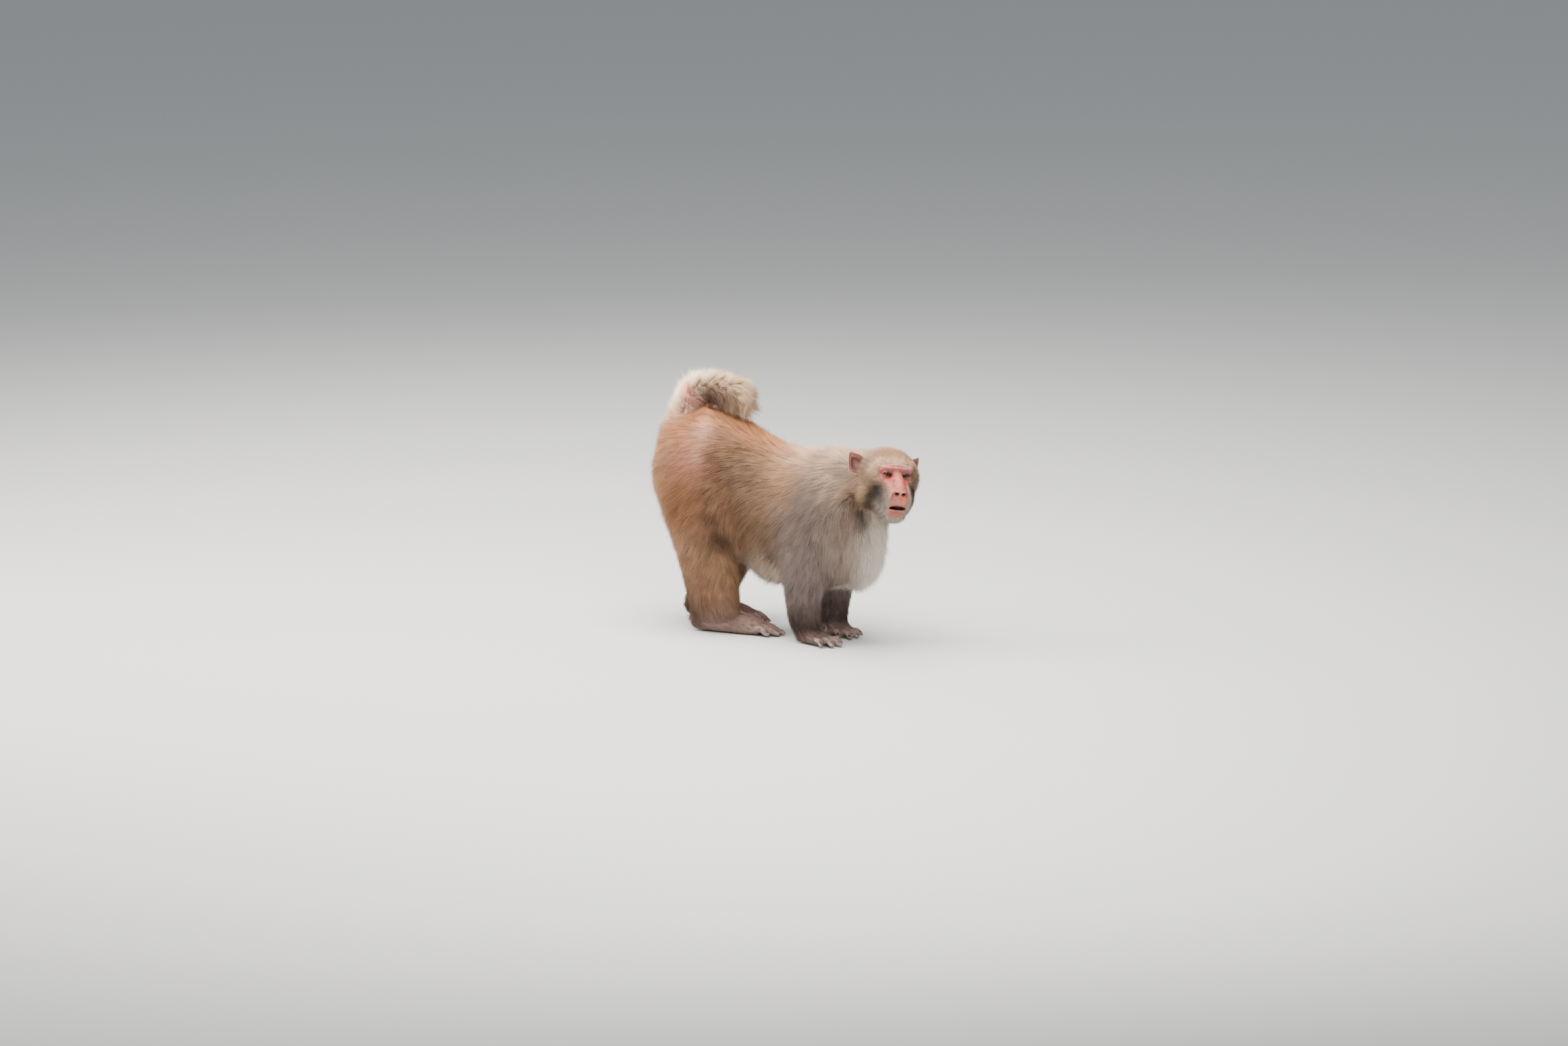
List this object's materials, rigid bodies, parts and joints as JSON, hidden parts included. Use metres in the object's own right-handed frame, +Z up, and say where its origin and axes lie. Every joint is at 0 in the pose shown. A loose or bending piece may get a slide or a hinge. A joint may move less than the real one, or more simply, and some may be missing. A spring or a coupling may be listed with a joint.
{
  "type": "rhesus macaque figure, still, standing on all fours",
  "caption": "Life-size still model of an adult rhesus macaque on all fours, head turned to its right, tail arched forward over the rump",
  "frame": {"origin": "middle of the underside of the whole animal's box, on the floor between the hands and the feet", "axes": "+Z up; the body runs along Y and faces -Y; its right side is at -X, its left side at +X"},
  "size_m": [0.2386, 0.598, 0.4684],
  "materials": {
    "gold_coat": "golden brown fur, dull",
    "grey_coat": "grey brown fur, dull",
    "pale_coat": "long cream fur, dull",
    "hand_fur": "short grey brown fur over dark skin",
    "ear_skin": "thin bare skin, satin",
    "eye": "wet glossy eyeball"
  },
  "bodies": {
    "root": {"hips": "gold_coat", "belly": "gold_coat", "thigh_right": "gold_coat", "thigh_left": "gold_coat", "shank_right": "gold_coat", "shank_left": "gold_coat", "chest": "grey_coat", "neck": "grey_coat", "head": "grey_coat", "upper_arm_right": "grey_coat", "upper_arm_left": "grey_coat", "forearm_right": "grey_coat", "forearm_left": "grey_coat", "tail": "pale_coat", "hand_right": "hand_fur", "hand_left": "hand_fur", "foot_right": "hand_fur", "foot_left": "hand_fur", "ear_right": "ear_skin", "ear_left": "ear_skin", "eye_right": "eye", "eye_left": "eye"}
  },
  "joints": []
}
